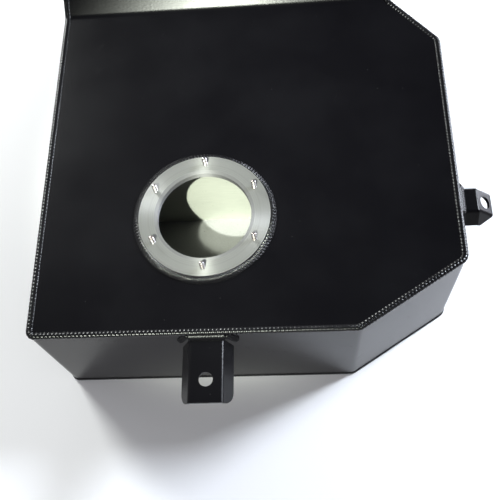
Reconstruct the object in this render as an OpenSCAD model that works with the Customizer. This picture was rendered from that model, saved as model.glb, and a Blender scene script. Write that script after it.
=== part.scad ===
// Welded sheet-metal hydraulic reservoir with a studded access ring, millimetres.
// The origin is on the underside of the floor, straight below the access ring's axis.
// +X runs to the tank's right, +Y to its rear and +Z up.

/* [Tank] */
// Overall width, left wall to right wall
tank_w = 440; // [420:1:500]
// Overall depth, front wall to rear wall
tank_d = 540; // [530:1:620]
// Height of the low front deck
deck_h = 162; // [140:1:175]
// Height of the raised rear deck
rear_h = 200; // [192:1:215]
// Width of the front wall, up to the cut front-right corner
front_w = 330; // [300:1:345]
// Depth of the cut front-right corner
corner_d = 70; // [55:1:90]
// Distance from the front wall to the end of the right wall
side_d = 344; // [330:1:360]
// Distance from the front wall to the foot of the ramp
deck_d = 405; // [395:1:415]
// Width of the raised rear section
rear_w = 388; // [375:1:395]
// Slope of the ramp between the two decks, in degrees
ramp_angle = 38; // [33:1:45]
// Thickness of the sheet
sheet = 3; // [2:0.5:3]
// Outer radius of the tight upright folds
tight_fold_r = 8; // [7:0.5:10]
// Outer radius of the other folds
wide_fold_r = 12; // [10:0.5:14]

/* [Access ring] */
// Distance from the left wall to the ring's axis
ring_from_left = 176; // [150:1:200]
// Distance from the front wall to the ring's axis
ring_from_front = 128; // [100:1:130]
// Outer diameter of the ring
ring_od = 138.5; // [135:0.5:145]
// Diameter of the ring's bore
ring_bore = 98.5; // [90:0.5:100]
// Thickness of the ring
ring_t = 8; // [7:0.5:10]
// Height of the ring above the deck
ring_proud = 5; // [4:0.5:6]
// Bolt circle of the studs
stud_pcd = 120.65; // [119:0.05:122]
// Diameter of a stud
stud_d = 5; // [4:0.5:5]
// Height of a stud above the ring
stud_proud = 12; // [8:0.5:16]

/* [Brackets] */
// Flat width of the front bracket's plate
front_tab_w = 28; // [26:1:32]
// Length of the front bracket
front_tab_len = 67; // [60:0.5:75]
// Flat width of the side bracket's plate
side_tab_w = 21; // [20:1:28]
// Length of the side bracket's level root
side_tab_root = 18.6; // [15:0.1:24]
// Length of the side bracket's sloping plate
side_tab_len = 22; // [21:1:30]
// Slope of the side bracket's plate, in degrees
side_tab_tilt = 40; // [30:1:50]
// Diameter of a bracket's bolt hole
tab_hole_d = 14; // [10:0.5:15]

/* [Ports] */
// Bore of the suction port
suction_bore = 27; // [20:0.5:28]
// Bore of the return port
return_bore = 21; // [16:0.5:24]
// Outer diameter of the filler neck
filler_od = 58; // [54:0.5:60]
// Bore of the drain bung
drain_bore = 14; // [12:0.5:16]

/* [Hidden] */

$fn = 64;
fold_steps = 8;
far = 1000;

coat_black = [0.09, 0.09, 0.10];
bare_metal = [0.78, 0.79, 0.80];
rubber_black = [0.05, 0.05, 0.05];
bright_steel = [0.62, 0.63, 0.65];

// Walls and corners, seen from the ring's axis
left = -ring_from_left;
front = -ring_from_front;
right = left + tank_w;
rear = front + tank_d;
foot_y = front + deck_d;
crest_y = foot_y + (rear_h - deck_h) / tan(ramp_angle);
rear_right = left + rear_w;
mid_x = left + rear_w / 2;
seam_y = front + 300;

// Plan of the tank, anticlockwise, and the outer radius of the fold at each corner
PLAN = [[left, front], [left + front_w, front], [right, front + corner_d], [right, front + side_d],
        [rear_right, foot_y], [rear_right, rear], [left, rear]];
PLAN_R = [tight_fold_r, wide_fold_r, wide_fold_r, wide_fold_r, wide_fold_r, tight_fold_r, tight_fold_r];

// Side view of the space under the decks, as (y, z) points. It runs past both end walls.
margin = 40;
SIDE = [[front - margin, -margin], [rear + margin, -margin], [rear + margin, rear_h],
        [crest_y, rear_h], [foot_y, deck_h], [front - margin, deck_h]];
SIDE_R = [0, 0, 0, wide_fold_r, wide_fold_r, 0];

// Corner joints: the plates stop half a sheet inside the walls, and a weld bead fills the step
plate_step = sheet / 2;
bead_out = 0.8;
bead_in = 5.5;
bead_h = 1.2;
base_bead_h = 2;

// Baffles
baffle_t = 2.5;
front_baffle_y = front + 204.5;
rear_baffle_y = front + 392;
baffle_h = deck_h - 28;
baffle_hole_d = 34;

// Access ring
rim_bevel = 3.5;
rim_bevel_h = 1;
stud_count = 6;
stud_sunk = 6;
stud_root_d = stud_d - 0.8;
stud_tip = 0.8;
ring_bead_w = 6.3;
ring_bead_h = 4.5;

// Brackets: a folded channel whose side flanges splay outwards
flange_depth = 15.5;
flange_splay = 30;
flange_fold_r = 4.5;
flange_start = 5;
flange_tip_r = 13;
tab_corner_r = 5;
seam_overlap = 0.4;
tab_drop = 5;
front_tab_x = left + 180;
front_hole_at = 44.2;
side_tab_y = front + 138;
side_hole_at = 11.5;
tab_bead = 8;

// Filler
filler_wall = 3;
filler_x = left + 110;
top_port_y = rear - 40;
filler_h = 28;
cap_wall = 4;
cap_gap = 0.4;
cap_h = 22;
cap_lobes = 12;
cap_r = filler_od / 2 + 8;
neck_r = filler_od / 2 - filler_wall;
gasket_t = 2.5;
basket_rim = 2;
basket_r = neck_r - 3;
basket_depth = 55;

// Breather, return, suction and drain
breather_x = left + 205;
return_x = left + 300;
suction_y = front + 62;
suction_z = 42;
drain_x = left + 60;
drain_z = 24;
bung_wall = 7;
bung_h = 14;
bung_bead_w = 4.5;
bung_bead_h = 4;
port_step = 1;
suction_hole_d = suction_bore - 2 * port_step;
return_hole_d = return_bore - 2 * port_step;
breather_bore = 10;
breather_bung_h = 10;
breather_hole_d = 5;
pipe_wall = 2;
return_depth = rear_h - 60;
strainer_neck = 8;
strainer_d = 42;
strainer_len = 60;
washer_t = 1.5;
plug_gap = 0.3;
plug_depth = 11;

// Point helpers

function unit(v) = v / norm(v);
function item(list, i) = list[(i + len(list)) % len(list)];
function crossing(a, b) = a.x * b.y - a.y * b.x;

// +1 where an anticlockwise outline turns left (an outside corner), -1 where it turns right
function turn(pts, i) =
    sign(crossing(pts[i] - item(pts, i - 1), item(pts, i + 1) - pts[i]));

function inward(pts, i) = let (d = unit(item(pts, i + 1) - item(pts, i))) [-d.y, d.x];

// An outline moved inwards by t
function inset(pts, t) =
    [for (i = [0:len(pts) - 1])
        let (a = inward(pts, i - 1), b = inward(pts, i))
        pts[i] + (a + b) * t / (1 + a * b)];

// The arc of radius r that rounds corner p between its neighbours a and b
function fold_arc(a, p, b, r) =
    r <= 0 ? [p] :
    let (u = unit(a - p), v = unit(b - p), half = acos(u * v) / 2,
         centre = p + unit(u + v) * r / sin(half),
         start = p + u * r / tan(half) - centre,
         end = p + v * r / tan(half) - centre,
         from = atan2(start.y, start.x),
         sweep = (atan2(end.y, end.x) - from + 540) % 360 - 180)
    [for (k = [0:fold_steps])
        centre + r * [cos(from + sweep * k / fold_steps), sin(from + sweep * k / fold_steps)]];

function rounded(pts, radii) =
    [for (i = [0:len(pts) - 1]) each fold_arc(item(pts, i - 1), pts[i], item(pts, i + 1), radii[i])];

// An outline moved inwards by t, with the folds' radii following
function inset_rounded(pts, radii, t) =
    rounded(inset(pts, t), [for (i = [0:len(pts) - 1]) radii[i] > 0 ? radii[i] - turn(pts, i) * t : 0]);

// Shared solids

// The tank's plan, inset by t, between two heights
module plan_prism(t, low, high)
    translate([0, 0, low])
        linear_extrude(high - low) polygon(inset_rounded(PLAN, PLAN_R, t));

// Everything deeper than t below the decks' upper surface
module below_decks(t)
    translate([left - margin, 0, 0])
        rotate([90, 0, 90])
            linear_extrude(tank_w + 2 * margin) polygon(inset_rounded(SIDE, SIDE_R, t));

module wall_shell()
    intersection() {
        difference() {
            plan_prism(0, sheet, rear_h);
            plan_prism(sheet, sheet - 1, rear_h + 1);
        }
        below_decks(sheet);
    }

module lid_blank()
    difference() {
        intersection() {
            plan_prism(plate_step, sheet, rear_h + 1);
            below_decks(0);
        }
        below_decks(sheet);
    }

// Everything on one side of the plane y = seam_y: side +1 is behind it, -1 in front
module seam_half(side)
    translate([-far / 2, side > 0 ? seam_y : seam_y - far, -1]) cube([far, far, far]);

// A round bung with a through bore, standing on its foot along +Z
module bung(bore, height, wall)
    difference() {
        cylinder(d = bore + 2 * wall, h = height);
        translate([0, 0, -1]) cylinder(d = bore, h = height + 2);
    }

// A fillet bead round a foot of radius r
module round_bead(r, w, h)
    rotate_extrude()
        polygon([[r, 0], [r + w, 0], [r + 0.8 * w, 0.3 * h], [r + 0.25 * w, 0.85 * h], [r, h]]);

// Tank shell

module floor_plate()
    color(coat_black) plan_prism(plate_step, 0, sheet);

module front_wrap()
    color(coat_black)
        difference() {
            intersection() {
                wall_shell();
                seam_half(-1);
            }
            at_suction() translate([0, 0, -sheet - 1]) cylinder(d = suction_hole_d, h = sheet + 2);
        }

module rear_wrap()
    color(coat_black)
        difference() {
            intersection() {
                wall_shell();
                seam_half(1);
            }
            at_drain() translate([0, 0, -sheet - 1]) cylinder(d = drain_bore, h = sheet + 2);
        }

module top_plate()
    color(coat_black)
        difference() {
            lid_blank();
            cylinder(d = ring_od, h = far);
            translate([filler_x, top_port_y, 0]) cylinder(d = filler_od, h = far);
            translate([return_x, top_port_y, 0]) cylinder(d = return_hole_d, h = far);
            translate([breather_x, top_port_y, 0]) cylinder(d = breather_hole_d, h = far);
        }

module baffle(y)
    color(bare_metal)
        difference() {
            intersection() {
                plan_prism(sheet, sheet, baffle_h);
                translate([-far / 2, y, 0]) cube([far, baffle_t, far]);
            }
            for (x = [left, rear_right])
                for (z = [sheet, baffle_h])
                    translate([x, y - 1, z])
                        rotate([-90, 0, 0]) cylinder(d = baffle_hole_d, h = baffle_t + 2);
        }

module front_baffle() baffle(front_baffle_y);

module rear_baffle() baffle(rear_baffle_y);

module top_weld()
    color(coat_black)
        difference() {
            intersection() {
                difference() {
                    plan_prism(-bead_out, sheet, rear_h + bead_h);
                    plan_prism(bead_in, deck_h, rear_h + bead_h + 1);
                }
                below_decks(-bead_h);
            }
            below_decks(sheet);
            lid_blank();
        }

module base_weld()
    color(coat_black)
        difference() {
            plan_prism(-bead_out, 0, sheet + base_bead_h);
            plan_prism(plate_step, -1, sheet);
            plan_prism(0, sheet, sheet + base_bead_h + 1);
        }

module seam_welds()
    color(coat_black)
        for (x = [left - bead_out, right])
            translate([x, seam_y - bead_in / 2, sheet + base_bead_h])
                cube([bead_out, bead_in, deck_h - 2 * sheet - base_bead_h]);

// Access ring

module at_studs()
    for (k = [0:stud_count - 1])
        rotate(30 + 360 * k / stud_count)
            translate([stud_pcd / 2, 0, deck_h + ring_proud]) children();

module access_ring()
    color(bare_metal)
        difference() {
            translate([0, 0, deck_h + ring_proud - ring_t])
                cylinder(d = ring_od, h = ring_t, $fn = 128);
            cylinder(d = ring_bore, h = far, $fn = 128);
            translate([0, 0, deck_h + ring_proud - rim_bevel_h])
                cylinder(r1 = ring_bore / 2, r2 = ring_bore / 2 + 2 * rim_bevel, h = 2 * rim_bevel_h);
            at_studs() translate([0, 0, -stud_sunk]) cylinder(d = stud_root_d, h = far);
        }

module ring_weld()
    color(coat_black)
        translate([0, 0, deck_h]) round_bead(ring_od / 2, ring_bead_w, ring_bead_h, $fn = 128);

module ring_studs()
    color(bright_steel)
        at_studs() {
            translate([0, 0, -stud_sunk]) cylinder(d = stud_root_d, h = stud_sunk);
            cylinder(d = stud_d, h = stud_proud - stud_tip);
            translate([0, 0, stud_proud - stud_tip])
                cylinder(d1 = stud_d, d2 = stud_d - 2 * stud_tip, h = stud_tip);
        }

// Brackets

// Cross-section of the channel: flat top at z = 0, flanges splayed down and out
function channel_points(flat_w) =
    let (corner = flat_w / 2 + flange_fold_r * tan((90 - flange_splay) / 2),
         reach = 2 * flange_depth,
         tip = corner + reach * tan(flange_splay),
         under = corner - sheet * tan((90 - flange_splay) / 2),
         under_tip = tip - sheet / cos(flange_splay),
         inner_r = flange_fold_r - sheet)
    rounded([[-tip, -reach], [-under_tip, -reach], [-under, -sheet], [under, -sheet],
             [under_tip, -reach], [tip, -reach], [corner, 0], [-corner, 0]],
            [0, 0, inner_r, inner_r, 0, 0, flange_fold_r, flange_fold_r]);

// The channel along +X
module channel(flat_w, length)
    rotate([90, 0, 90]) linear_extrude(length) polygon(channel_points(flat_w));

// A straight bracket along +X with its top at z = 0. The flanges stop short of the wall, to leave
// room for the weld, and are rounded off at the tip.
module straight_tab(flat_w, length, hole_at)
    difference() {
        intersection() {
            channel(flat_w, length);
            side_cut(rounded([[0, 0], [0, -sheet], [flange_start, -sheet],
                              [flange_start + 2, -flange_depth], [length, -flange_depth], [length, 0]],
                             [0, 0, 0, 0, flange_tip_r, 0]));
        }
        translate([hole_at, 0, -far / 2]) cylinder(d = tab_hole_d, h = far);
    }

// A prism across the bracket with the given (x, z) side view
module side_cut(points)
    translate([0, far / 2, 0]) rotate([90, 0, 0]) linear_extrude(far) polygon(points);

// Side view of the bent bracket: a level root, then a plate sloping down, whose flanges taper
function bent_tab_points(root, length, tilt) =
    let (along = [cos(tilt), -sin(tilt)],
         down = [-sin(tilt), -cos(tilt)],
         bend = [root, 0])
    rounded([[0, 0], [0, -flange_depth], [root, -flange_depth],
             bend + along * length * 0.6 + down * flange_depth * 0.9,
             bend + along * length + down * flange_depth * 0.6, bend + along * length, bend],
            [0, 0, 0, 4, tab_corner_r, 0, flange_fold_r]);

// A bent bracket along +X with its root's top at z = 0. Both legs are channels, and the flanges
// meet in an upright seam at the bend.
module bent_tab(flat_w, root, length, tilt, hole_at)
    difference() {
        intersection() {
            union() {
                channel(flat_w, root + seam_overlap);
                difference() {
                    translate([root, 0, 0]) rotate([0, tilt, 0])
                        intersection() {
                            translate([-flange_depth, 0, 0]) channel(flat_w, length + flange_depth);
                            rounded_end(length, flat_w + flange_fold_r);
                        }
                    translate([root - far, -far / 2, -far / 2]) cube(far);
                }
            }
            side_cut(bent_tab_points(root, length, tilt));
        }
        translate([root, 0, 0]) rotate([0, tilt, 0])
            translate([hole_at, 0, -far / 2]) cylinder(d = tab_hole_d, h = far);
    }

// A prism through a plate along +X that narrows towards its end and rounds the corners there
module rounded_end(length, width)
    translate([0, 0, -far / 2])
        linear_extrude(far)
            polygon(rounded([[-far, -2 * width], [0, -1.5 * width], [length, -width / 2],
                             [length, width / 2], [0, 1.5 * width], [-far, 2 * width]],
                            [0, 0, tab_corner_r, tab_corner_r, 0, 0]));

// Fillet beads over and under a bracket's root and beside it. The upper one stops at the deck's bead.
module tab_weld(flat_w) {
    half = flat_w / 2 + flange_fold_r;
    across(2 * half)
        polygon([[0, 0], [flange_start, 0], [0.6 * flange_start, 0.55 * tab_drop],
                 [bead_out, 0.85 * tab_drop], [bead_out, tab_drop - sheet], [0, tab_drop - sheet]]);
    translate([0, 0, -sheet])
        across(flat_w)
            polygon([[0, 0], [0, -flange_start],
                     [0.4 * flange_start, -0.5 * flange_start], [flange_start, 0]]);
    for (side = [0, 1])
        mirror([0, side, 0])
            translate([0, half, -sheet])
                linear_extrude(sheet)
                    polygon([[0, 0], [flange_start, 0],
                             [0.6 * flange_start, 0.5 * tab_bead], [0, tab_bead]]);
}

// A prism of the given width across a bracket, centred on it
module across(width)
    translate([0, width / 2, 0]) rotate([90, 0, 0]) linear_extrude(width) children();

module at_front_tab()
    translate([front_tab_x, front, deck_h - tab_drop]) rotate(-90) children();

module at_side_tab()
    translate([right, side_tab_y, deck_h - tab_drop]) children();

module at_rear_tab()
    translate([mid_x, rear, rear_h - tab_drop]) rotate(90) children();

module front_bracket()
    color(coat_black)
        at_front_tab() straight_tab(front_tab_w, front_tab_len, front_hole_at);

module front_bracket_weld() color(coat_black) at_front_tab() tab_weld(front_tab_w);

module side_bracket()
    color(coat_black)
        at_side_tab() bent_tab(side_tab_w, side_tab_root, side_tab_len, side_tab_tilt, side_hole_at);

module side_bracket_weld() color(coat_black) at_side_tab() tab_weld(side_tab_w);

module rear_bracket()
    color(coat_black)
        at_rear_tab() straight_tab(front_tab_w, front_tab_len, front_hole_at);

module rear_bracket_weld() color(coat_black) at_rear_tab() tab_weld(front_tab_w);

// Filler

module at_filler() translate([filler_x, top_port_y, rear_h]) children();

module filler_neck()
    color(bare_metal)
        at_filler() translate([0, 0, -sheet])
            difference() {
                cylinder(d = filler_od, h = sheet + filler_h);
                translate([0, 0, -1]) cylinder(r = neck_r, h = sheet + filler_h + 2);
            }

module filler_weld() color(coat_black) at_filler() round_bead(filler_od / 2, bung_bead_w, bung_bead_h);

// A perforated basket that hangs in the neck on its rim
module filler_strainer()
    color(bare_metal)
        at_filler()
            difference() {
                union() {
                    translate([0, 0, filler_h - 2 * basket_rim]) cylinder(r = neck_r, h = basket_rim);
                    translate([0, 0, -basket_depth])
                        cylinder(r = basket_r, h = basket_depth + filler_h - basket_rim);
                }
                translate([0, 0, 1 - basket_depth]) cylinder(r = basket_r - 1, h = far);
                for (row = [0:4])
                    for (k = [0:3])
                        translate([0, 0, -basket_depth + 10 + 9 * row])
                            rotate([90, 0, 45 * k + 22.5 * (row % 2)])
                                cylinder(d = 5, h = far, center = true);
            }

module filler_gasket()
    color(rubber_black)
        at_filler() translate([0, 0, filler_h])
            difference() {
                cylinder(d = filler_od, h = gasket_t);
                translate([0, 0, -1]) cylinder(r = neck_r, h = gasket_t + 2);
            }

// The cap's skirt drops over the neck with a running gap, and its rim is scalloped for grip
module filler_cap()
    color(coat_black)
        at_filler() translate([0, 0, filler_h + gasket_t + cap_wall - cap_h])
            difference() {
                cylinder(r = cap_r, h = cap_h);
                translate([0, 0, -1]) cylinder(r = filler_od / 2 + cap_gap, h = cap_h - cap_wall + 1);
                for (k = [0:cap_lobes - 1])
                    rotate(360 * k / cap_lobes)
                        translate([cap_r + 2, 0, -1]) cylinder(r = 4, h = cap_h + 2);
            }

// Breather

module at_breather() translate([breather_x, top_port_y, rear_h]) children();

module breather_bung()
    color(coat_black) at_breather() bung(breather_bore, breather_bung_h, bung_wall);

module breather()
    color(bright_steel)
        at_breather() {
            difference() {
                cylinder(d = breather_bore, h = breather_bung_h);
                translate([0, 0, -1]) cylinder(d = breather_hole_d, h = breather_bung_h + 1);
            }
            translate([0, 0, breather_bung_h]) {
                cylinder(d = 24, h = 6, $fn = 6);
                translate([0, 0, 6]) cylinder(d = 18, h = 10);
                translate([0, 0, 16]) cylinder(d1 = 18, d2 = 12, h = 3);
            }
        }

// Return

module at_return() translate([return_x, top_port_y, rear_h]) children();

module return_bung() color(coat_black) at_return() bung(return_bore, bung_h, bung_wall);

// The return pipe carries the oil down below its surface and ends in a slanted cut
module return_pipe()
    color(bare_metal)
        at_return()
            difference() {
                translate([0, 0, -return_depth]) cylinder(d = return_hole_d, h = return_depth);
                translate([0, 0, -return_depth - 1])
                    cylinder(d = return_hole_d - 2 * pipe_wall, h = return_depth + 2);
                translate([0, 0, -return_depth]) rotate([45, 0, 0])
                    translate([-far / 2, -far / 2, -far]) cube(far);
            }

// Suction

module at_suction() translate([left, suction_y, suction_z]) rotate([0, -90, 0]) children();

module suction_bung() color(coat_black) at_suction() bung(suction_bore, bung_h, bung_wall);

// A mesh-covered drum on a neck that fills the hole in the wall
module suction_strainer() {
    neck_end = -sheet - strainer_neck;
    drum_end = neck_end - strainer_len;
    color(bright_steel)
        at_suction()
            difference() {
                union() {
                    translate([0, 0, neck_end]) cylinder(d = suction_hole_d, h = -neck_end);
                    translate([0, 0, drum_end]) cylinder(d = strainer_d, h = strainer_len);
                }
                translate([0, 0, drum_end + pipe_wall])
                    cylinder(d = suction_hole_d - 2 * pipe_wall, h = far);
            }
}

// Drain

module at_drain() translate([drain_x, rear, drain_z]) rotate([-90, 0, 0]) children();

module drain_bung() color(coat_black) at_drain() bung(drain_bore, bung_h, bung_wall);

module drain_washer()
    color([0.72, 0.42, 0.25])
        at_drain() translate([0, 0, bung_h]) bung(drain_bore + 1, washer_t, 4);

module drain_plug()
    color(bright_steel)
        at_drain() {
            translate([0, 0, bung_h - plug_depth])
                cylinder(d = drain_bore - 2 * plug_gap, h = plug_depth + washer_t);
            translate([0, 0, bung_h + washer_t]) {
                cylinder(d = drain_bore + 10, h = 2);
                translate([0, 0, 2]) cylinder(d = drain_bore + 7, h = 8, $fn = 6);
            }
        }

module bung_welds()
    color(coat_black) {
        at_return() round_bead(return_bore / 2 + bung_wall, bung_bead_w, bung_bead_h);
        at_breather() round_bead(breather_bore / 2 + bung_wall, bung_bead_w, bung_bead_h);
        at_suction() round_bead(suction_bore / 2 + bung_wall, bung_bead_w, bung_bead_h);
        at_drain() round_bead(drain_bore / 2 + bung_wall, bung_bead_w, bung_bead_h);
    }

floor_plate();
front_wrap();
rear_wrap();
top_plate();
front_baffle();
rear_baffle();
top_weld();
base_weld();
seam_welds();
access_ring();
ring_weld();
ring_studs();
front_bracket();
front_bracket_weld();
side_bracket();
side_bracket_weld();
rear_bracket();
rear_bracket_weld();
filler_neck();
filler_weld();
filler_strainer();
filler_gasket();
filler_cap();
breather_bung();
breather();
return_bung();
return_pipe();
suction_bung();
suction_strainer();
drain_bung();
drain_washer();
drain_plug();
bung_welds();
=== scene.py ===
"""Looks of the welded hydraulic reservoir: materials, real weld beads, threads and turned fittings.

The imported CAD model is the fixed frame, in metres: +X right, +Y to the raised rear end, +Z up, origin
on the floor's underside straight below the access ring. Sheets, ring and brackets stay as CAD nodes and
get their finish here. Welds, studs, cap, breather and drain plug are replaced by detailed meshes.
"""

import math

import bmesh
import bpy
from mathutils import Matrix, Vector, noise


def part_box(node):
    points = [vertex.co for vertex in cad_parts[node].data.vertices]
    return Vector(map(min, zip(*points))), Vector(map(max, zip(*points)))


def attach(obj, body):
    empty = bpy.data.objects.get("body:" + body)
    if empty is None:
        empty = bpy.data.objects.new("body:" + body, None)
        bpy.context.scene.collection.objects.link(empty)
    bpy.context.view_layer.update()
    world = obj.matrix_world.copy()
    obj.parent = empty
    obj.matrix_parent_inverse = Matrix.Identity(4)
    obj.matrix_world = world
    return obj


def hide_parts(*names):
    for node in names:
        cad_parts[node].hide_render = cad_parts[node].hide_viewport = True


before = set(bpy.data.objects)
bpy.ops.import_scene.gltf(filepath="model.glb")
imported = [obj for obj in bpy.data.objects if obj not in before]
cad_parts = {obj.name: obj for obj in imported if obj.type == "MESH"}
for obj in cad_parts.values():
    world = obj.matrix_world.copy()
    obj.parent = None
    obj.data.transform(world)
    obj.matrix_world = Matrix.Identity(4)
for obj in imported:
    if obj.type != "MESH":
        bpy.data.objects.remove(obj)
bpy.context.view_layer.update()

MM = 0.001
TAU = 2 * math.pi
TINY = 1e-6
X, Y, Z = 0, 1, 2
UP = Vector((0, 0, 1))
LEFTWARDS = Vector((-1, 0, 0))
RIGHTWARDS = Vector((1, 0, 0))
FORWARDS = Vector((0, -1, 0))
REARWARDS = Vector((0, 1, 0))

# Tank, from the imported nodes
WALL_LOW, WALL_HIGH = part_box("front_wrap")
LEFT, RIGHT = WALL_LOW.x, WALL_HIGH.x
FRONT = WALL_LOW.y
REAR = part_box("rear_wrap")[1].y
REAR_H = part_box("top_plate")[1].z

# Tank, dimensions shared with the part
SHEET = 3 * MM
DECK_H = 162 * MM
FRONT_W = 330 * MM
CORNER_D = 70 * MM
SIDE_D = 344 * MM
DECK_D = 405 * MM
REAR_W = 388 * MM
RAMP_ANGLE = math.radians(38)
TIGHT_FOLD = 8 * MM
WIDE_FOLD = 12 * MM
FOOT_Y = FRONT + DECK_D
SEAM_Y = FRONT + 300 * MM

# Ring and studs
RING_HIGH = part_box("access_ring")[1]
RING_R, RING_TOP = RING_HIGH.x, RING_HIGH.z
STUD_CIRCLE_R = 120.65 / 2 * MM
STUD_R = 2.5 * MM
STUD_PITCH = 0.8 * MM
STUD_COUNT = 6
STUD_START = math.radians(30)
STUD_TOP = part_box("ring_studs")[1].z

# Brackets: radius of the side folds, drop of the root below the deck, flat width between the folds
FOLD_R = 4.5 * MM
TAB_DROP = 5 * MM
WIDE_FLAT = 28 * MM
NARROW_FLAT = 21 * MM


# Meshes

class Shape:
    """Vertices and faces collected from several closed solids."""

    def __init__(self):
        self.verts = []
        self.faces = []

    def grid(self, rows, place=Matrix.Identity(4), closed=False):
        """A tube through closed loops of equal length, with flat ends unless it closes on itself."""
        first = len(self.verts)
        around = len(rows[0])
        for row in rows:
            self.verts += [place @ Vector(p) for p in row]
        last = len(rows) if closed else len(rows) - 1
        for i in range(last):
            a = first + i * around
            b = first + (i + 1) % len(rows) * around
            for k in range(around):
                n = (k + 1) % around
                self.faces.append((a + k, a + n, b + n, b + k))
        if not closed:
            self.faces.append(tuple(first + k for k in reversed(range(around))))
            top = first + (len(rows) - 1) * around
            self.faces.append(tuple(top + k for k in range(around)))


def add_object(name, shape, material, body, nodes):
    """A smooth-shaded mesh that rides on a body and stands for CAD nodes."""
    mesh = bpy.data.meshes.new(name)
    mesh.from_pydata([tuple(v) for v in shape.verts], [], shape.faces)
    mesh.validate()
    turn_outwards(mesh)
    mesh.shade_smooth()
    obj = bpy.data.objects.new(name, mesh)
    bpy.context.scene.collection.objects.link(obj)
    obj.data.materials.append(material)
    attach(obj, body)
    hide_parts(*nodes)


def turn_outwards(mesh):
    """Makes every face of the closed solids point outwards."""
    solid = bmesh.new()
    solid.from_mesh(mesh)
    bmesh.ops.recalc_face_normals(solid, faces=solid.faces)
    solid.to_mesh(mesh)
    solid.free()


def box_centre(node):
    low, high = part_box(node)
    return (low + high) / 2


def axis_point(node, axis, at):
    """The point on a round fitting's axis at one position along it."""
    centre = box_centre(node)
    centre[axis] = at
    return centre


def turned(shape, profile, place, segments, limit):
    """A solid turned about local Z from (radius, height) points that start and end near the axis.
    limit(angle, z) caps the radius."""
    rows = []
    for r, z in profile:
        row = []
        for k in range(segments):
            angle = TAU * k / segments
            here = min(r, limit(angle, z))
            row.append((here * math.cos(angle), here * math.sin(angle), z))
        rows.append(row)
    shape.grid(rows, place)


def hexagon_between(across_flats, low, high):
    """Limit for a solid that is hexagonal between two heights and round elsewhere."""
    sixth = math.pi / 3

    def limit(angle, z):
        if not low - TINY <= z <= high + TINY:
            return math.inf
        return across_flats / 2 / math.cos((angle + sixth / 2) % sixth - sixth / 2)
    return limit


def fillet(corner, r, start, end):
    """An arc that rounds a profile's corner, from one angle to another about its centre, in degrees."""
    steps = 5
    points = []
    for k in range(steps + 1):
        angle = math.radians(start + (end - start) * k / steps)
        points.append((corner[0] + r * math.cos(angle), corner[1] + r * math.sin(angle)))
    return points


def thread(shape, place, radius, depth, pitch, length, tip, segments=40):
    """An external thread along local Z that narrows over its tip."""
    rows_per_turn = 10
    flank_slope, crest_flat = 1.25, 0.12
    smallest = 0.2 * radius
    rows = []
    count = max(2, round(length / pitch * rows_per_turn))
    for i in range(count + 1):
        z = length * i / count
        cone = radius - max(0.0, z - (length - tip))
        row = []
        for k in range(segments):
            phase = (z / pitch - k / segments) % 1.0
            zigzag = 2 * abs(phase - 0.5)
            groove = depth * min(1.0, max(0.0, flank_slope * zigzag - crest_flat))
            r = max(min(radius - groove, cone), smallest)
            angle = TAU * k / segments
            row.append((r * math.cos(angle), r * math.sin(angle), z))
        rows.append(row)
    shape.grid(rows, place)


# Paths

PLAN = [Vector((LEFT, FRONT)), Vector((LEFT + FRONT_W, FRONT)), Vector((RIGHT, FRONT + CORNER_D)),
        Vector((RIGHT, FRONT + SIDE_D)), Vector((LEFT + REAR_W, FOOT_Y)), Vector((LEFT + REAR_W, REAR)),
        Vector((LEFT, REAR))]
PLAN_R = [TIGHT_FOLD, WIDE_FOLD, WIDE_FOLD, WIDE_FOLD, WIDE_FOLD, TIGHT_FOLD, TIGHT_FOLD]


def rounded_outline(points, radii, spacing):
    """Evenly spaced points along a closed outline with rounded corners."""
    arc_steps = 10
    path = []
    for i, corner in enumerate(points):
        before = (points[i - 1] - corner).normalized()
        after = (points[(i + 1) % len(points)] - corner).normalized()
        half = before.angle(after) / 2
        reach = radii[i] / math.tan(half)
        centre = corner + (before + after).normalized() * radii[i] / math.sin(half)
        start = corner + before * reach - centre
        end = corner + after * reach - centre
        for k in range(arc_steps + 1):
            path.append(centre + (start.lerp(end, k / arc_steps)).normalized() * radii[i])
    return resample(path, spacing)


def resample(path, spacing):
    """The same closed path in equal steps."""
    total = sum((path[i] - path[i - 1]).length for i in range(len(path)))
    count = round(total / spacing)
    step = total / count
    rounding = 1e-12
    out, travelled, target = [], 0.0, 0.0
    for i in range(len(path)):
        a, b = path[i], path[(i + 1) % len(path)]
        length = (b - a).length
        while target < travelled + length - rounding and len(out) < count:
            out.append(a.lerp(b, (target - travelled) / length))
            target += step
        travelled += length
    return out


def deck_height(y):
    """Height of the decks' upper surface, with the two folds rounded off."""
    ramp = DECK_H + (y - FOOT_Y) * math.tan(RAMP_ANGLE)
    blend = WIDE_FOLD * math.tan(RAMP_ANGLE / 2) ** 2
    low = smooth_max(DECK_H, ramp, blend)
    return -smooth_max(-low, -REAR_H, blend)


def smooth_max(a, b, blend):
    """The larger of two numbers, rounded off where they are nearly equal."""
    return (a + b + math.sqrt((a - b) ** 2 + blend ** 2)) / 2


def frames_along(path, height_at):
    """Frames along a closed plan path: sideways is outwards, up follows the deck's slope."""
    out = []
    for i, p in enumerate(path):
        a, b = path[i - 1], path[(i + 1) % len(path)]
        a3 = Vector((a.x, a.y, height_at(a.y)))
        b3 = Vector((b.x, b.y, height_at(b.y)))
        along = (b3 - a3).normalized()
        flat = Vector((b.x - a.x, b.y - a.y, 0)).normalized()
        side = Vector((flat.y, -flat.x, 0))
        up = side.cross(along).normalized()
        out.append((Vector((p.x, p.y, height_at(p.y))), side, up))
    return out


def ring_frames(centre, axis, radius, spacing):
    """Frames round a circle: sideways is away from the axis, up is along it."""
    first = axis.orthogonal().normalized()
    second = axis.cross(first)
    count = round(TAU * radius / spacing)
    out = []
    for k in range(count):
        angle = -TAU * k / count
        side = first * math.cos(angle) + second * math.sin(angle)
        out.append((centre + side * radius, side, axis))
    return out


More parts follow.
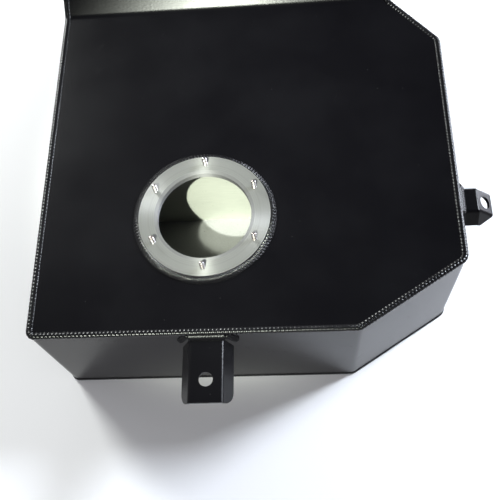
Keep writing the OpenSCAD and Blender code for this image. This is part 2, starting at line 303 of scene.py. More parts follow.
def line_frames(start, end, side, up, spacing):
    """Frames along a straight line, all alike."""
    count = max(4, round((end - start).length / spacing))
    return [(start.lerp(end, k / count), side, up) for k in range(count + 1)]


# Materials

# The coat reflects less than plain paint, and its thicker film on the beads a little more
COAT_IOR = 1.28
BEAD_IOR = 1.42

# Scales of the rolling streaks along X, Y and Z: they are longest along the smallest
LONG_STREAKS = (3.0, 60.0, 60.0)
SHORT_STREAKS = (40.0, 60.0, 60.0)

TURNED_TINT = (0.99, 1.0, 0.97)

# Sockets of a Mix node by data type: the factor, the two values and the result
MIX_SOCKETS = {"FLOAT": (0, 2, 3, 0), "VECTOR": (0, 4, 5, 1), "RGBA": (0, 6, 7, 2)}

# Where the walls' inner faces look. Their bottom edges lie below it, so they count as outside.
INSIDE_POINT = (0.044, 0.100, SHEET / 2)


def grey(value, tint=(1.0, 1.0, 1.0)):
    return (value * tint[0], value * tint[1], value * tint[2], 1.0)


class Nodes:
    """Short calls that build a node tree."""

    def __init__(self, tree):
        self.tree = tree

    def node(self, kind, inputs=(), **settings):
        """A node with its settings and inputs. An input is a constant or another node's output."""
        made = self.tree.nodes.new(kind)
        for key, value in settings.items():
            setattr(made, key, value)
        for key, value in dict(inputs).items():
            self.set(made, key, value)
        return made

    def set(self, node, key, value):
        """Links an input to another node's output, or sets it to a constant."""
        if isinstance(value, bpy.types.NodeSocket):
            self.tree.links.new(value, node.inputs[key])
        else:
            node.inputs[key].default_value = value

    def span(self, value, low, high, to_low, to_high):
        """value between low and high, mapped to another range and held there."""
        made = self.node("ShaderNodeMapRange", {"Value": value, "From Min": low, "From Max": high,
                                                "To Min": to_low, "To Max": to_high})
        return made.outputs["Result"]

    def maths(self, operation, a, b):
        return self.node("ShaderNodeMath", {0: a, 1: b}, operation=operation).outputs[0]

    def vector_maths(self, operation, a, b, output="Vector"):
        made = self.node("ShaderNodeVectorMath", {0: a, 1: b}, operation=operation)
        return made.outputs[output]

    def mix(self, factor, a, b, kind="RGBA"):
        """a where factor is 0 and b where it is 1. Mixes colours unless told otherwise."""
        factor_at, a_at, b_at, result_at = MIX_SOCKETS[kind]
        made = self.node("ShaderNodeMix", {factor_at: factor, a_at: a, b_at: b}, data_type=kind)
        return made.outputs[result_at]


class Finish(Nodes):
    """A node material round one Principled shader."""

    def __init__(self, name):
        self.material = bpy.data.materials.new(name)
        self.material.use_nodes = True
        super().__init__(self.material.node_tree)
        self.shader = self.tree.nodes["Principled BSDF"]
        self.object_space = self.node("ShaderNodeTexCoord").outputs["Object"]

    def base(self, **values):
        """Sets the shader's own sockets, named with underscores for spaces."""
        for key, value in values.items():
            self.set(self.shader, key.replace("_", " "), value)

    def noise(self, scale, detail=3.0, rough=0.5, vector=None, distortion=0.0):
        """Fractal noise round 0.5, with scale in features per metre."""
        made = self.node("ShaderNodeTexNoise", {"Scale": scale, "Detail": detail, "Roughness": rough,
                                                "Distortion": distortion,
                                                "Vector": vector or self.object_space})
        return made.outputs["Fac"]

    def specks(self, scale, size):
        """1 on small sparse dots, 0 elsewhere. One cell in five has a dot."""
        cells = self.node("ShaderNodeTexVoronoi", {"Scale": scale, "Vector": self.object_space})
        near = self.span(cells.outputs["Distance"], size, 0.6 * size, 0.0, 1.0)
        pick = self.node("ShaderNodeSeparateColor", {"Color": cells.outputs["Color"]}).outputs[0]
        return self.maths("MULTIPLY", near, self.maths("GREATER_THAN", pick, 0.8))

    def bump(self, height, distance, strength, below=None):
        """A normal raised by a height from 0 to 1, on top of another normal if there is one."""
        inputs = {"Height": height, "Distance": distance, "Strength": strength}
        if below is not None:
            inputs["Normal"] = below
        return self.node("ShaderNodeBump", inputs).outputs["Normal"]

    def facing_up(self):
        """1 where the surface faces up, -1 where it faces down."""
        normal = self.node("ShaderNodeNewGeometry").outputs["Normal"]
        return self.vector_maths("DOT_PRODUCT", normal, UP, "Value")

    def outwards(self, centre):
        """Positive where the surface faces away from a point."""
        geometry = self.node("ShaderNodeNewGeometry")
        away = self.vector_maths("SUBTRACT", geometry.outputs["Position"], centre)
        return self.vector_maths("DOT_PRODUCT", geometry.outputs["Normal"], away, "Value")


def faces_in(finish):
    return finish.maths("LESS_THAN", finish.outwards(INSIDE_POINT), 0.0)


def faces_down(finish):
    return finish.maths("LESS_THAN", finish.facing_up(), -0.1)


def faces_up(finish):
    return finish.maths("GREATER_THAN", finish.facing_up(), 0.5)


def coat_layers(finish):
    """Black powder coat: colour, roughness and normal."""
    tone = finish.noise(9.0, 4.0)
    dust = finish.specks(110.0, 0.06)
    scuffs = finish.noise(60.0, 6.0, 0.7, distortion=1.2)
    colour = finish.mix(finish.span(tone, 0.35, 0.65, 0.0, 1.0),
                        grey(0.0022, (1.0, 0.95, 1.25)), grey(0.0034, (1.0, 0.97, 1.2)))
    colour = finish.mix(finish.maths("MULTIPLY", dust, 0.5), colour, grey(0.03))
    rough = finish.span(tone, 0.3, 0.7, 0.22, 0.26)
    rough = finish.maths("ADD", rough, finish.span(scuffs, 0.6, 0.75, 0.0, 0.05))
    peel = finish.noise(420.0, 2.0, 0.4)
    swell = finish.noise(60.0, 2.0, 0.5)
    normal = finish.bump(peel, 0.05 * MM, 0.7)
    normal = finish.bump(swell, 0.2 * MM, 0.12, normal)
    return colour, rough, normal


def aluminium_layers(finish, tint, rough_low, streaks):
    """Mill-finish sheet: rolling streaks, dull blotches and small marks."""
    squeezed = finish.node("ShaderNodeMapping", {"Vector": finish.object_space, "Scale": streaks})
    lines = finish.noise(12.0, 5.0, 0.65, squeezed.outputs[0])
    blotch = finish.noise(22.0, 4.0, 0.6)
    marks = finish.specks(260.0, 0.12)
    colour = finish.mix(finish.span(lines, 0.3, 0.7, 0.0, 1.0), grey(0.72, tint), grey(0.84, tint))
    colour = finish.mix(finish.span(blotch, 0.5, 0.75, 0.0, 0.25), colour, grey(0.55, tint))
    colour = finish.mix(marks, colour, grey(0.12, tint))
    rough = finish.span(lines, 0.3, 0.7, rough_low, 1.3 * rough_low)
    normal = finish.bump(lines, 0.02 * MM, 0.4)
    return colour, rough, normal


def coated_finish(name, gloss=1.0, ior=COAT_IOR):
    """Powder coat all over. A gloss below 1 makes it rougher."""
    finish = Finish(name)
    colour, rough, normal = coat_layers(finish)
    rough = finish.maths("DIVIDE", rough, gloss)
    finish.base(Base_Color=colour, Roughness=rough, Normal=normal, IOR=ior)
    return finish.material


def shell_finish(name, inside, bare_tone_with_painted_shade, metallic):
    """Powder coat outside and bare aluminium inside. inside(finish) gives 1 on inner faces."""
    finish = Finish(name)
    mask = inside(finish)
    coat_colour, coat_rough, coat_normal = coat_layers(finish)
    # The bare tone sets the inside far darker than real sheet: painted shade for the tank's dark
    # interior
    tint = (bare_tone_with_painted_shade, bare_tone_with_painted_shade, bare_tone_with_painted_shade)
    bare_colour, bare_rough, bare_normal = aluminium_layers(finish, tint, 0.125, SHORT_STREAKS)
    finish.base(Base_Color=finish.mix(mask, coat_colour, bare_colour),
                Roughness=finish.mix(mask, coat_rough, bare_rough, "FLOAT"),
                Metallic=finish.maths("MULTIPLY", mask, metallic),
                Normal=finish.mix(mask, coat_normal, bare_normal, "VECTOR"), IOR=COAT_IOR)
    return finish.material


def bare_finish(name, tint=(1.0, 1.0, 1.0), rough_low=0.28, metallic=0.8):
    """Uncoated sheet and tube."""
    finish = Finish(name)
    colour, rough, normal = aluminium_layers(finish, tint, rough_low, LONG_STREAKS)
    finish.base(Base_Color=colour, Roughness=rough, Normal=normal, Metallic=metallic)
    return finish.material


def turned_finish(name):
    """Lathe-turned aluminium: concentric grooves about Z through the origin. The top face keeps the
    turned finish; the bevels and bores are rougher, and their darker grey is painted shade that dims the
    key lamp's reflection there."""
    finish = Finish(name)
    flat = finish.vector_maths("MULTIPLY", finish.object_space, (1, 1, 0))
    radius = finish.node("ShaderNodeVectorMath", {0: flat}, operation="LENGTH").outputs["Value"]
    line = finish.node("ShaderNodeCombineXYZ", {"X": radius}).outputs[0]
    fine = finish.noise(2600.0, 2.0, 0.6, line)
    bands = finish.noise(500.0, 3.0, 0.6, line)
    blotch = finish.noise(40.0, 4.0, 0.6)
    nicks = finish.specks(300.0, 0.1)
    colour = finish.mix(finish.span(bands, 0.3, 0.7, 0.0, 1.0),
                        grey(0.165, TURNED_TINT), grey(0.2, TURNED_TINT))
    colour = finish.mix(finish.span(blotch, 0.5, 0.8, 0.0, 0.2), colour, grey(0.15))
    colour = finish.mix(nicks, colour, grey(0.08))
    # Faces that do not point up get a darker grey: painted shade against the key lamp's reflection
    face = finish.span(finish.facing_up(), 0.97, 0.99, 0.0, 1.0)
    colour = finish.mix(face, grey(0.14), colour)
    rough = finish.mix(face, 0.62, finish.span(bands, 0.3, 0.7, 0.3, 0.34), "FLOAT")
    tangent = finish.node("ShaderNodeTangent", direction_type="RADIAL", axis="Z").outputs[0]
    finish.base(Base_Color=colour, Roughness=rough, Metallic=0.5, Anisotropic=0.93,
                Anisotropic_Rotation=0.25, Tangent=tangent, Normal=finish.bump(fine, 0.02 * MM, 0.2))
    return finish.material


def steel_finish(name, patch_tint):
    """Zinc-plated steel with darker, faintly tinted patches at random."""
    finish = Finish(name)
    bright = 0.5
    blotch = finish.noise(300.0, 4.0, 0.6)
    fine = finish.noise(2200.0, 2.0, 0.5)
    colour = finish.mix(finish.span(blotch, 0.42, 0.68, 0.0, 1.0),
                        grey(bright), grey(bright * 0.6, patch_tint))
    finish.base(Base_Color=colour, Metallic=1.0, Roughness=finish.span(blotch, 0.3, 0.7, 0.22, 0.4),
                Normal=finish.bump(fine, 0.02 * MM, 0.4))
    return finish.material


def gauze_finish(name):
    """Woven wire cloth: two crossing sets of wires."""
    finish = Finish(name)
    waves = []
    for direction in ("X", "Z"):
        wave = finish.node("ShaderNodeTexWave", {"Vector": finish.object_space, "Scale": 200.0,
                                                 "Distortion": 0.0}, bands_direction=direction)
        waves.append(wave.outputs["Fac"])
    weave = finish.maths("MULTIPLY", waves[0], waves[1])
    tone = finish.noise(50.0, 3.0)
    # Dark grey away from the wire crossings is painted shade in the gaps of the weave
    colour = finish.mix(weave, grey(0.1), grey(0.62))
    colour = finish.mix(finish.span(tone, 0.4, 0.7, 0.0, 0.3), colour, grey(0.3, (1.0, 0.95, 0.85)))
    finish.base(Base_Color=colour, Metallic=0.9, Roughness=finish.span(tone, 0.3, 0.7, 0.3, 0.5),
                Normal=finish.bump(weave, 0.3 * MM, 0.6))
    return finish.material


def rubber_finish(name):
    """Matt black rubber with a grey bloom."""
    finish = Finish(name)
    bloom = finish.noise(120.0, 4.0, 0.6)
    grain = finish.noise(1800.0, 2.0)
    finish.base(Base_Color=finish.mix(finish.span(bloom, 0.45, 0.75, 0.0, 1.0), grey(0.018), grey(0.04)),
                Roughness=finish.span(bloom, 0.3, 0.7, 0.55, 0.72),
                Normal=finish.bump(grain, 0.05 * MM, 0.4))
    return finish.material


def anodised_finish(name):
    """Satin black anodised cap with slightly rubbed patches."""
    finish = Finish(name)
    rub = finish.noise(140.0, 5.0, 0.65)
    grain = finish.noise(2600.0, 2.0)
    colour = finish.mix(finish.span(rub, 0.5, 0.8, 0.0, 1.0), grey(0.025, (1.0, 1.0, 1.1)), grey(0.07))
    finish.base(Base_Color=colour, Metallic=0.8, Roughness=finish.span(rub, 0.3, 0.7, 0.36, 0.28),
                Normal=finish.bump(grain, 0.02 * MM, 0.4))
    return finish.material


def bronze_finish(name):
    """Sintered bronze beads, with patches of another tone."""
    finish = Finish(name)
    cells = finish.node("ShaderNodeTexVoronoi", {"Scale": 1400.0, "Vector": finish.object_space})
    beads = cells.outputs["Distance"]
    tone = finish.noise(160.0, 4.0)
    # Each bead darkens towards its edge: painted shade in the crevices between the beads
    colour = finish.mix(beads, grey(0.62, (1.0, 0.72, 0.42)), grey(0.2, (1.0, 0.65, 0.4)))
    colour = finish.mix(finish.span(tone, 0.4, 0.7, 0.0, 0.5), colour, grey(0.4, (1.0, 0.68, 0.42)))
    finish.base(Base_Color=colour, Metallic=0.95, Roughness=finish.span(tone, 0.3, 0.7, 0.38, 0.55),
                Normal=finish.bump(beads, 0.4 * MM, 0.5))
    return finish.material


def copper_finish(name):
    """Copper washer, bright with darker tarnish."""
    finish = Finish(name)
    tone = finish.noise(260.0, 4.0, 0.6)
    colour = finish.mix(finish.span(tone, 0.4, 0.7, 0.0, 1.0),
                        grey(0.8, (1.0, 0.55, 0.36)), grey(0.45, (1.0, 0.5, 0.3)))
    finish.base(Base_Color=colour, Metallic=1.0, Roughness=finish.span(tone, 0.3, 0.7, 0.25, 0.42),
                Normal=finish.bump(tone, 0.03 * MM, 0.4))
    return finish.material


def floor_finish(name):
    """Matt pale floor."""
    finish = Finish(name)
    tone = finish.noise(3.0, 3.0)
    grain = finish.noise(400.0, 2.0)
    finish.base(Base_Color=finish.mix(tone, grey(0.9), grey(0.94)),
                Roughness=finish.span(grain, 0.3, 0.7, 0.6, 0.7))
    return finish.material


coat = coated_finish("black_powder_coat")
bead_coat = coated_finish("bead_powder_coat", gloss=0.9, ior=BEAD_IOR)
# The low bare tones of the inner faces are painted shade that keeps the tank's interior dark
wall_coat = shell_finish("coated_wall", faces_in, bare_tone_with_painted_shade=0.35, metallic=0.6)
deck_coat = shell_finish("coated_deck", faces_down, bare_tone_with_painted_shade=0.3, metallic=0.6)
floor_coat = shell_finish("coated_floor", faces_up, bare_tone_with_painted_shade=0.4, metallic=0.38)
bare = bare_finish("mill_aluminium")
# The baffle's dim tint darkens it far below bare sheet: painted shade for the tank's dark interior
baffle_bare = bare_finish("shade_darkened_aluminium", tint=(0.56, 0.58, 0.5), rough_low=0.5, metallic=0.05)
turned_metal = turned_finish("turned_aluminium")
stud_steel = steel_finish("zinc_stud", patch_tint=(1.0, 0.75, 0.66))
plug_steel = steel_finish("zinc_plug", patch_tint=(1.0, 0.95, 0.85))
gauze = gauze_finish("strainer_gauze")
rubber = rubber_finish("nitrile")
cap_black = anodised_finish("anodised_cap")
bronze = bronze_finish("sintered_bronze")
copper = copper_finish("copper")

CAD_FINISHES = {
    wall_coat: ["front_wrap", "rear_wrap"],
    deck_coat: ["top_plate"],
    floor_coat: ["floor_plate"],
    coat: ["front_bracket", "side_bracket", "rear_bracket", "breather_bung", "return_bung",
           "suction_bung", "drain_bung"],
    baffle_bare: ["front_baffle"],
    bare: ["rear_baffle", "filler_neck", "filler_strainer", "return_pipe"],
    turned_metal: ["access_ring"],
    gauze: ["suction_strainer"],
    rubber: ["filler_gasket"],
    copper: ["drain_washer"],
}
for material, nodes in CAD_FINISHES.items():
    for node in nodes:
        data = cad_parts[node].data
        data.materials.clear()
        data.materials.append(material)


# Welds

def bead(shape, frames, section, pitch, height, closed, lean=0.35, uneven=0.3, seed=0.0):
    """A weld bead along (origin, sideways, up) frames. section is a closed loop of (side, up, swell)
    points: swell says how far the ripples lift that point. Ripples are crescents a pitch apart that
    lean along the bead. height and uneven say how strong they and their irregularity are."""
    wander_pitches, wander_share = 6, 0.25
    rough_per_pitch = 1.7
    crescent_skew = 1.4
    # These keep the samples off the noise's grid, where it is zero
    wander_offset, rough_offset = 0.3, 3.1
    rows, travelled = [], 0.0
    for i, (origin, side, up) in enumerate(frames):
        if i:
            travelled += (origin - frames[i - 1][0]).length
        wander = noise.noise(Vector((travelled / (wander_pitches * pitch), seed, wander_offset)))
        row = []
        for k, (u, v, swell) in enumerate(section):
            across = abs(2 * k / max(1, len(section) - 1) - 1)
            phase = (travelled / pitch + lean * across ** 2 + wander_share * wander) % 1.0
            ripple = 0.5 * math.cos(TAU * phase ** crescent_skew)
            rough_at = travelled / pitch * rough_per_pitch
            rough = noise.noise(Vector((rough_at, seed + rough_offset, across * 2)))
            lift = 1 + swell * (height * ripple + uneven * height * (wander + rough))
            row.append(origin + side * u * lift + up * v * lift)
        rows.append(row)
    shape.grid(rows, closed=closed)


def add_weld(name, shape, node, material=bead_coat):
    """A coated bead on the tank that stands for one CAD weld."""
    add_object(name, shape, material, "tank", [node])


def in_metres(section):
    return [(u * MM, v * MM, swell) for u, v, swell in section]


def corner_section():
    """Bead over the step between a wall's top edge and the deck, as (outwards, up, swell)."""
    crown = [(-0.2, -4.4, 0.1), (0.75, -3.2, 0.5), (1.25, -1.9, 1.0), (1.25, -0.6, 1.0),
             (0.6, 0.55, 1.0), (-0.7, 1.25, 1.0), (-2.3, 1.45, 1.0), (-3.8, 1.1, 0.8),
             (-5.2, 0.35, 0.4), (-5.9, -0.25, 0.0)]
    back = [(-4.5, -1.2, 0.0), (-2.0, -2.6, 0.0), (-1.0, -3.8, 0.0)]
    return in_metres(crown + back)


def foot_section():
    """Bead between the foot of a wall and the floor's edge, as (outwards, up, swell)."""
    crown = [(-0.2, 5.4, 0.1), (0.7, 4.2, 0.6), (1.1, 3.0, 1.0), (1.1, 1.8, 1.0), (0.7, 0.9, 0.8),
             (-0.4, 0.2, 0.2), (-1.8, 0.2, 0.0)]
    back = [(-2.2, 2.0, 0.0), (-1.2, 4.4, 0.0)]
    return in_metres(crown + back)


def fillet_section(width, height):
    """Fillet bead lying in the corner at the origin: +side along one leg, +up along the other."""
    steps = 9
    hollow, buried = 1.15, 0.5 * MM
    sunk = 0.4 * MM
    crown = []
    for k in range(steps + 1):
        t = math.pi / 2 * k / steps
        swell = math.sin(2 * t) ** 0.5 if 0 < k < steps else 0.0
        crown.append((width * math.cos(t) ** hollow, height * math.sin(t) ** hollow, swell))
    back = [(-buried, height * 0.95, 0.0), (-buried, -sunk, 0.0), (width * 0.95, -sunk, 0.0)]
    return crown + back


def low_section(width, height):
    """A low crown lying on a face: side across the bead, up off the face."""
    steps = 10
    sunk = 0.4 * MM
    crown = []
    for k in range(steps + 1):
        t = math.pi * k / steps
        crown.append((width / 2 * math.cos(t), height * math.sin(t), math.sin(t)))
    return crown + [(-width / 2, -sunk, 0.0), (width / 2, -sunk, 0.0)]


def build_top_weld():
    shape = Shape()
    path = rounded_outline(PLAN, PLAN_R, 0.45 * MM)
    bead(shape, frames_along(path, deck_height), corner_section(), pitch=4.0 * MM, height=0.26,
         closed=True, seed=1.0)
    add_weld("top_weld_bead", shape, "top_weld")


def build_base_weld():
    shape = Shape()
    path = rounded_outline(PLAN, PLAN_R, 0.6 * MM)
    bead(shape, frames_along(path, lambda y: 0.0), foot_section(), pitch=3.8 * MM, height=0.26,
         closed=True, seed=5.0)
    add_weld("base_weld_bead", shape, "base_weld")


def build_seams():
    """Upright beads where the front and the rear wrap meet."""
    shape = Shape()
    bottom, top = 5 * MM, DECK_H - 3 * MM
    for x, out in ((LEFT, -1), (RIGHT, 1)):
        frames = line_frames(Vector((x, SEAM_Y, bottom)), Vector((x, SEAM_Y, top)),
                             Vector((0, out, 0)), Vector((out, 0, 0)), 0.5 * MM)
        bead(shape, frames, low_section(5.5 * MM, 1.1 * MM), pitch=3.6 * MM, height=0.22,
             closed=False, lean=0.5, seed=40.0 + x)
    add_weld("seam_weld_beads", shape, "seam_welds")


def build_ring_weld():
    shape = Shape()
    frames = ring_frames(Vector((0, 0, DECK_H)), UP, RING_R, 0.25 * MM)
    bead(shape, frames, fillet_section(6.4 * MM, 4.4 * MM), pitch=3.3 * MM, height=0.22,
         closed=True, lean=0.9, seed=9.0)
    add_weld("ring_weld_bead", shape, "ring_weld")


def foot_bead(shape, node, axis, at, way, section, pitch, seed):
    """A bead round the foot of a round fitting that stands on a face."""
    low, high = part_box(node)
    across = (axis + 1) % 3
    radius = (high[across] - low[across]) / 2
    frames = ring_frames(axis_point(node, axis, at), way, radius, 0.35 * MM)
    bead(shape, frames, section, pitch, height=0.2, closed=True, lean=0.8, seed=seed)


def build_bung_welds():
    bungs = [("return_bung", Z, REAR_H, UP), ("breather_bung", Z, REAR_H, UP),
             ("suction_bung", X, LEFT, LEFTWARDS), ("drain_bung", Y, REAR, REARWARDS)]
    shape = Shape()
    for i, (node, axis, at, way) in enumerate(bungs):
        foot_bead(shape, node, axis, at, way, fillet_section(4.6 * MM, 4.0 * MM), 2.8 * MM, 20.0 + i)
    add_weld("bung_weld_beads", shape, "bung_welds")


def build_filler_weld():
    shape = Shape()
    foot_bead(shape, "filler_neck", Z, REAR_H, UP, fillet_section(4.8 * MM, 4.2 * MM), 3.0 * MM, 30.0)
    add_weld("filler_weld_bead", shape, "filler_weld")


def build_tab_weld(bracket, origin, along, across, flat_w, seed):
    """A smooth fillet over the root, a bead under it and rows of ripples down both sides."""
    half = flat_w / 2 + FOLD_R * 0.9
    side_run, side_rise = 17 * MM, 2 * MM
    splay_out, splay_down = 0.5, 0.866
    shape = Shape()
    over = line_frames(origin - across * half, origin + across * half, along, UP, 0.5 * MM)
    bead(shape, over, fillet_section(6.0 * MM, TAB_DROP * 0.86), pitch=3.0 * MM, height=0.05,
         closed=False, lean=0.6, uneven=0.2, seed=seed)
    low = origin - UP * SHEET
    under = line_frames(low + across * flat_w / 2, low - across * flat_w / 2, along, -UP, 0.5 * MM)
    bead(shape, under, fillet_section(4.5 * MM, 4.5 * MM), pitch=3.0 * MM, height=0.2,
         closed=False, lean=0.8, seed=seed + 1)
    for sign in (1, -1):
        start = origin + across * sign * half + UP * side_rise
        end = start + (across * sign * splay_out - UP * splay_down) * side_run
        if sign > 0:
            start, end = end, start
        frames = line_frames(start, end, across * sign, along, 0.4 * MM)
        bead(shape, frames, fillet_section(4.8 * MM, 4.2 * MM), pitch=2.6 * MM, height=0.24,
             closed=False, lean=0.9, seed=seed + 2 + sign)
    add_weld(f"{bracket}_bead", shape, f"{bracket}_weld", coat)


def build_bracket_welds():
    low_root, high_root = DECK_H - TAB_DROP, REAR_H - TAB_DROP
    front = Vector((box_centre("front_bracket").x, FRONT, low_root))
    side = Vector((RIGHT, box_centre("side_bracket").y, low_root))
    rear = Vector((box_centre("rear_bracket").x, REAR, high_root))
    build_tab_weld("front_bracket", front, FORWARDS, RIGHTWARDS, WIDE_FLAT, seed=50.0)
    build_tab_weld("side_bracket", side, RIGHTWARDS, REARWARDS, NARROW_FLAT, seed=60.0)
    build_tab_weld("rear_bracket", rear, REARWARDS, LEFTWARDS, WIDE_FLAT, seed=70.0)


# Fittings

def build_studs():
    """Threaded studs in the ring, each turned by another angle."""
    shape = Shape()
    sunk = 1 * MM
    turn_step = 1.7
    for k in range(STUD_COUNT):
        angle = STUD_START + TAU * k / STUD_COUNT
        x, y = STUD_CIRCLE_R * math.cos(angle), STUD_CIRCLE_R * math.sin(angle)
        foot = Vector((x, y, RING_TOP - sunk))
        place = Matrix.Translation(foot) @ Matrix.Rotation(turn_step * k, 4, "Z")
        thread(shape, place, STUD_R, depth=0.42 * MM, pitch=STUD_PITCH, length=STUD_TOP - foot.z,
               tip=0.8 * MM)
    add_object("threaded_studs", shape, stud_steel, "tank", ["ring_studs"])


def build_cap():
    """Scalloped screw cap with a dished top, rounded edges and a hollow skirt."""
    low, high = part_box("filler_cap")
    h = high.z - low.z
    r = (high.x - low.x) / 2
    lobes, lobe_depth = 12, 2.0 * MM
    near_axis = 0.5 * MM
    bevel = 1 * MM
    inner_r, roof = 29.4 * MM, h - 4 * MM
    edge = 1.6 * MM
    side_rows = (5 * MM, 9 * MM, 13 * MM)
    boss_r = 11 * MM
    dish_floor, boss_top = h - 0.8 * MM, h - 0.1 * MM

    def scallop(angle, z):
        wave = 0.5 + 0.5 * math.cos(lobes * angle)
        return r - lobe_depth * wave ** 3

    skirt = [(near_axis, roof), (inner_r - bevel, roof), (inner_r, roof - bevel), (inner_r, bevel),
             (inner_r + 0.8 * MM, 0.0)]
    outer = fillet((r - edge, edge), edge, -90, 0)
    outer += [(r, z) for z in side_rows]
    outer += fillet((r - edge, h - edge), edge, 0, 90)
    dish = [(r - 6 * MM, h), (r - 7 * MM, dish_floor), (boss_r + bevel, dish_floor),
            (boss_r, boss_top), (near_axis, boss_top)]
    shape = Shape()
    place = Matrix.Translation(axis_point("filler_cap", Z, low.z))
    turned(shape, skirt + outer + dish, place, 240, scallop)
    add_object("screw_cap", shape, cap_black, "cap", ["filler_cap"])


def build_breather():
    """Breather with a hollow shank, a hexagon to turn it by and a sintered drum with a domed end."""
    low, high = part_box("breather")
    top = high.z - low.z
    near_axis = 0.4 * MM
    bore_r, shank_r = 2.5 * MM, 5.0 * MM
    hex_low, hex_high = 10 * MM, 16 * MM
    hex_r, hex_bevel = 12 * MM, 0.8 * MM
    drum_r, drum_top = 8.9 * MM, 25.4 * MM
    dome_r = 2.9 * MM
    bore = [(near_axis, hex_low), (bore_r, hex_low), (bore_r, 0.0)]
    shank = [(shank_r - 0.6 * MM, 0.0), (shank_r, 0.6 * MM), (shank_r, hex_low)]
    head = [(hex_r - 1 * MM, hex_low), (hex_r, hex_low + hex_bevel), (hex_r, hex_high - hex_bevel),
            (hex_r - 1 * MM, hex_high)]
    drum = [(drum_r - 0.5 * MM, hex_high), (drum_r, hex_high + 0.6 * MM), (drum_r, drum_top)]
    dome = fillet((drum_r - dome_r, drum_top + 0.2 * MM), dome_r, 0, 80) + [(near_axis, top)]
    shape = Shape()
    place = Matrix.Translation(axis_point("breather", Z, low.z))
    limit = hexagon_between(min(high.x - low.x, high.y - low.y), hex_low, hex_high)
    turned(shape, bore + shank + head + drum + dome, place, 120, limit)
    add_object("sintered_breather", shape, bronze, "tank", ["breather"])


def build_plug():
    """Drain plug: thread, collar and hexagonal head with a shallow recess."""
    low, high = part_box("drain_plug")
    length = high.y - low.y
    near_axis = 0.3 * MM
    head = length - 8 * MM
    flange = head - 2 * MM
    collar_r = 12 * MM
    hex_foot, hex_r = head + 0.02 * MM, 10.6 * MM
    recess_r, recess_floor = 5.2 * MM, length - 0.5 * MM
    under = [(near_axis, flange - 0.2 * MM), (6.5 * MM, flange - 0.2 * MM),
             (collar_r - 0.6 * MM, flange)]
    collar = [(collar_r, flange + 0.5 * MM), (collar_r, head - 0.4 * MM), (collar_r - 0.5 * MM, head)]
    hex_side = [(hex_r, hex_foot), (hex_r, length - 1.2 * MM), (9.2 * MM, length)]
    face = [(recess_r, length), (recess_r - 0.2 * MM, recess_floor), (near_axis, recess_floor)]
    shape = Shape()
    place = Matrix.Translation(axis_point("drain_plug", Y, low.y))
    place = place @ Matrix.Rotation(-math.pi / 2, 4, "X")
    limit = hexagon_between(18 * MM, hex_foot, length)
    turned(shape, under + collar + hex_side + face, place, 120, limit)
    down = Matrix.Translation((0, 0, flange)) @ Matrix.Rotation(math.pi, 4, "X")
    thread(shape, place @ down, radius=6.65 * MM, depth=0.7 * MM, pitch=1.5 * MM, length=flange,
           tip=0.8 * MM, segments=48)
    add_object("hex_drain_plug", shape, plug_steel, "plug", ["drain_plug"])


build_top_weld()
build_base_weld()
build_seams()
build_ring_weld()
build_bung_welds()
build_filler_weld()
build_bracket_welds()
build_studs()
build_cap()
build_breather()
build_plug()


# Studio

RING_CENTRE = Vector((0.0, 0.0, RING_TOP))
KEY_DISTANCE = 5.0
KEY_R = 0.045
KEY_EDGE = 0.6
KEY_COLOUR = (0.95, 1.0, 0.88)
TO_KEY = Vector((-0.095, -0.53, 0.84)).normalized()
FLOOR_HALF = 6.0
FLOOR_DROP = 0.2 * MM
SENSOR_W = 36.0
LENS = 53.96
CAMERA_PLACE = (0.10221, -0.35634, 0.85534)
CAMERA_RIGHT = (0.99680, -0.00230, -0.07983)
CAMERA_BACK = (0.07173, -0.41358, 0.90763)


def add_floor():
    mesh = bpy.data.meshes.new("studio_floor")
    corners = [(-1, -1), (1, -1), (1, 1), (-1, 1)]
    verts = [(x * FLOOR_HALF, y * FLOOR_HALF, -FLOOR_DROP) for x, y in corners]
    mesh.from_pydata(verts, [], [(0, 1, 2, 3)])
    floor = bpy.data.objects.new("studio_floor", mesh)
    bpy.context.scene.collection.objects.link(floor)
    floor.data.materials.append(floor_finish("pale_floor"))


def add_light(name, place, size, watts, colour, target=RING_CENTRE):
    """A round soft lamp."""
    data = bpy.data.lights.new(name, "AREA")
    data.shape = "DISK"
    data.size = size
    data.energy = watts
    data.color = colour
    aim_light(name, data, place, target)


def add_beam(name, target, beam_r, watts):
    """The distant key lamp with a beam that lights a disc of radius beam_r at the target."""
    place = RING_CENTRE + KEY_DISTANCE * TO_KEY
    data = bpy.data.lights.new(name, "SPOT")
    data.shadow_soft_size = KEY_R
    data.spot_size = 2 * math.atan(beam_r / (Vector(target) - place).length)
    data.spot_blend = KEY_EDGE
    data.energy = watts
    data.color = KEY_COLOUR
    aim_light(name, data, place, target)


def aim_light(name, data, place, target):
    light = bpy.data.objects.new(name, data)
    bpy.context.scene.collection.objects.link(light)
    light.location = place
    light.rotation_euler = (Vector(target) - Vector(place)).to_track_quat("-Z", "Y").to_euler()


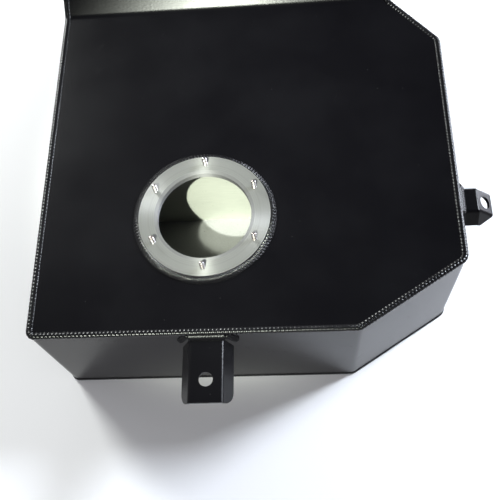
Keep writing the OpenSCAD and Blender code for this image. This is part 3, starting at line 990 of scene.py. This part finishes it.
def add_world():
    """A room that is bright near the horizon and dark overhead, with a pale backdrop. Its mirror image
    in glossy surfaces is dimmer."""
    world = bpy.data.worlds.new("studio")
    world.use_nodes = True
    sky = Nodes(world.node_tree)
    direction = sky.node("ShaderNodeTexCoord").outputs["Generated"]
    height = sky.node("ShaderNodeSeparateXYZ", {0: direction}).outputs["Z"]
    rays = sky.node("ShaderNodeLightPath").outputs
    low, high = 0.4, 0.75
    bright, dark = 1.2, 0.11
    mirror_share = 0.3
    glow = sky.span(height, low, high, bright, dark)
    mirrored = sky.span(rays["Is Glossy Ray"], 0.0, 1.0, 1.0, mirror_share)
    room = sky.tree.nodes["Background"]
    sky.set(room, "Color", grey(1.0, (0.99, 0.99, 1.04)))
    sky.set(room, "Strength", sky.maths("MULTIPLY", glow, mirrored))
    backdrop = sky.node("ShaderNodeBackground", {"Color": grey(0.9)})
    seen = sky.node("ShaderNodeMixShader", {0: rays["Is Camera Ray"], 1: room.outputs[0],
                                            2: backdrop.outputs[0]})
    sky.set(sky.tree.nodes["World Output"], "Surface", seen.outputs[0])
    bpy.context.scene.world = world


def add_camera():
    """The photograph's viewpoint: above and in front, looking down, tilted a little to one side."""
    data = bpy.data.cameras.new("camera")
    data.sensor_width = SENSOR_W
    data.lens = LENS
    camera = bpy.data.objects.new("camera", data)
    bpy.context.scene.collection.objects.link(camera)
    right = Vector(CAMERA_RIGHT).normalized()
    back = Vector(CAMERA_BACK)
    back = (back - right * back.dot(right)).normalized()
    up = back.cross(right)
    turn = Matrix((right, up, back)).transposed().to_4x4()
    camera.matrix_world = Matrix.Translation(CAMERA_PLACE) @ turn
    bpy.context.scene.camera = camera


add_floor()
add_beam("key", target=(0.0, 0.06, RING_TOP), beam_r=0.26, watts=2040.0)
add_beam("bore_key", target=RING_CENTRE, beam_r=0.075, watts=2150.0)
add_light("side_lamp", place=(1.29, 0.515, 1.14), size=0.4, watts=42.0, colour=(0.84, 0.9, 1.0))
add_light("low_strip", place=(1.9, 1.1, 0.3), size=0.6, watts=25.0, colour=(0.86, 0.88, 1.0),
          target=(0.27, 0.0, 0.15))
add_light("left_fill", place=(-1.3, 1.4, 1.3), size=0.7, watts=45.0, colour=(0.97, 1.0, 0.98))
add_world()
add_camera()
bpy.context.scene.view_settings.view_transform = "Standard"
